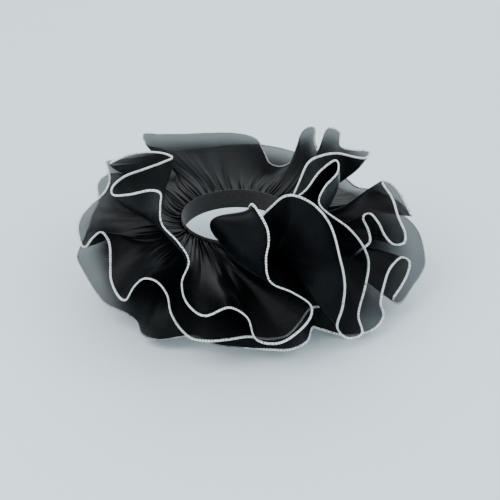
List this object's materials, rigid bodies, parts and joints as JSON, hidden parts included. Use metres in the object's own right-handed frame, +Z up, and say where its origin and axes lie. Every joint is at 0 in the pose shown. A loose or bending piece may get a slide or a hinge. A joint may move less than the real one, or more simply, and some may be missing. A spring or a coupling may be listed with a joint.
{
  "type": "ruffled collar",
  "caption": "Gathered ruffled collar in tiers of sheer black organza with white overlocked edges, on a round neckband, open at the neck.",
  "frame": {"origin": "middle of the neckband's ring, on the neck's axis, halfway up the band", "axes": "+Z up along the neck, -Y to the wearer's front, +X to the wearer's left"},
  "size_m": [0.3683, 0.3303, 0.1742],
  "materials": {
    "organza": "sheer organza with a soft sheen",
    "elastic": "matte ribbed elastic",
    "edging": "matte overlock thread"
  },
  "bodies": {
    "root": {"neckband": "elastic", "ruffle_top": "organza", "ruffle_middle": "organza", "ruffle_bottom": "organza"}
  },
  "joints": []
}
